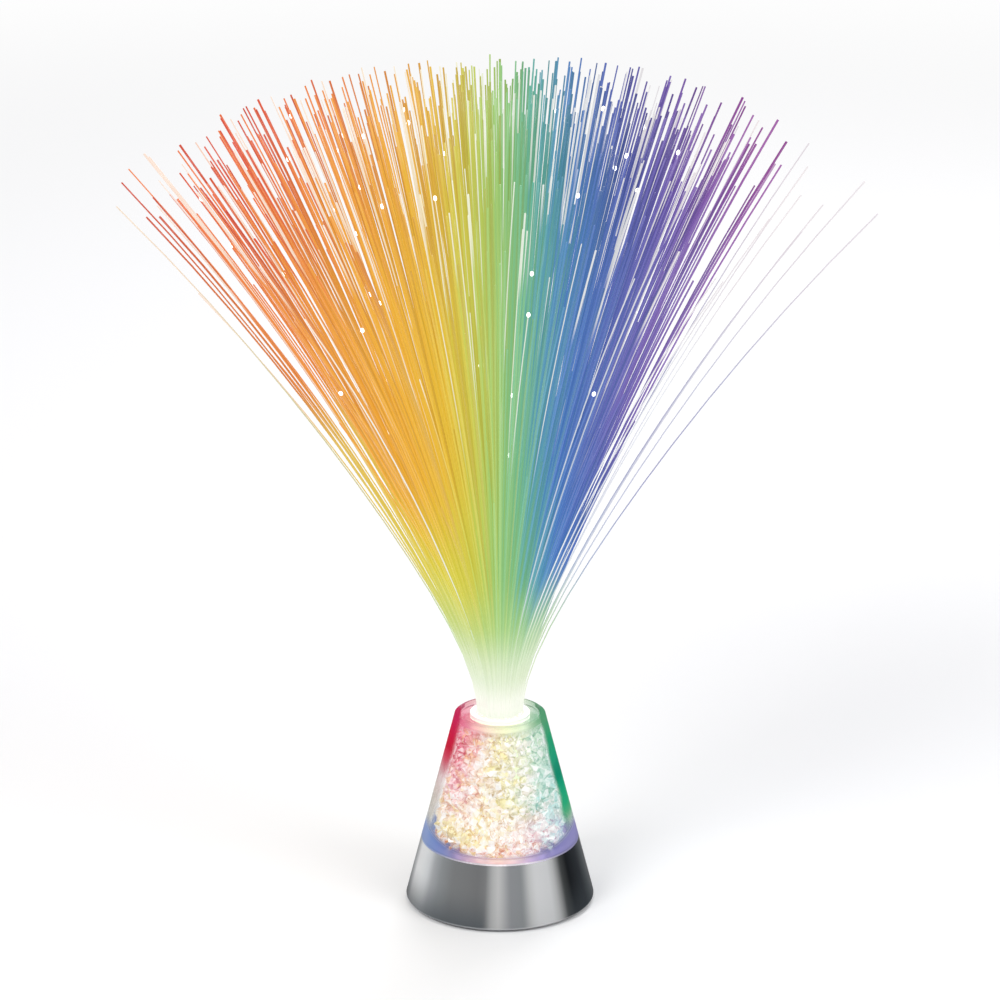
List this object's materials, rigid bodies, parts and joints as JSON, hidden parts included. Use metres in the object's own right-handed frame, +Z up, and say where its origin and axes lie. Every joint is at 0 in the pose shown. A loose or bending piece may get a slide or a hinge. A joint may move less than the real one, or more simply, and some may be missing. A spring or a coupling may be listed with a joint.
{
  "type": "fibre optic lamp",
  "caption": "Battery table lamp: satin metal band, clear cone filled with crystals, and a tall fan of glowing optical fibres standing in its mouth.",
  "frame": {"origin": "centre of the base, on the lamp's axis, at the underside of the rubber feet", "axes": "+Z up along the cone's axis; -Y to the viewer, switch on the +Y side; +X to the viewer's right"},
  "size_m": [0.2923, 0.2631, 0.3383],
  "materials": {
    "satin_band": "satin, bright plated",
    "frosted_floor": "frosted clear",
    "clear_cone": "polished clear",
    "clear_tube": "clear",
    "crystal_chips": "broken crystal facets, lit from below",
    "circuit_board": "solder mask",
    "led_case": "clear domes",
    "black_resin": "moulded",
    "capacitor_can": "drawn can",
    "screw_steel": "plated",
    "black_cover": "fine moulded grain",
    "foot_rubber": "matt",
    "cell_can": "plain wrapped cell",
    "contact_plate": "nickel plated",
    "knob_plastic": "moulded",
    "lead_red": "insulation",
    "lead_black": "insulation",
    "sleeve_plastic": "clear ferrule",
    "potted_fibres": "polished fibre ends",
    "fibres_green": "lit strands",
    "fibres_mixed": "lit strands",
    "fibres_violet": "lit strands"
  },
  "bodies": {
    "base": {"base_shell": "satin_band", "battery_cell_1": "cell_can", "battery_cell_2": "cell_can", "battery_cell_3": "cell_can", "battery_springs": "contact_plate", "board_screws": "screw_steel", "bottom_cover": "black_cover", "capacitor": "capacitor_can", "clear_dome": "clear_cone", "contact_link_left": "contact_plate", "contact_link_right": "contact_plate", "contact_negative": "contact_plate", "contact_positive": "contact_plate", "control_chip": "black_resin", "core_tube": "clear_tube", "cover_screws": "screw_steel", "crystal_floor": "frosted_floor", "crystals": "crystal_chips", "dome_screws": "screw_steel", "feet": "foot_rubber", "lead_negative": "lead_black", "lead_positive": "lead_red", "lead_switch": "lead_red", "led_board": "circuit_board", "leds_centre": "led_case", "leds_ring": "led_case", "switch_body": "black_resin", "switch_screws": "screw_steel"},
    "spray": {"fibre_bundle": "potted_fibres", "fibre_sleeve": "sleeve_plastic", "fibres_core": "fibres_green", "fibres_inner": "fibres_mixed", "fibres_middle": "fibres_mixed", "fibres_outer": "fibres_violet"},
    "door": {"battery_door": "black_cover", "door_screw": "screw_steel"},
    "knob": {"switch_knob": "knob_plastic"}
  },
  "joints": [
    {"name": "spray_lift", "type": "slide", "parent": "base", "child": "spray", "axis": [0, 0, 1], "range_m": [0, 0.055]},
    {"name": "door_hinge", "type": "hinge", "parent": "base", "child": "door", "pos_m": [0, 0.01625, 0.00205], "axis": [1, 0, 0], "range_deg": [0, 70]},
    {"name": "switch_slide", "type": "slide", "parent": "base", "child": "knob", "axis": [1, 0, 0], "range_m": [0, 0.004]}
  ]
}
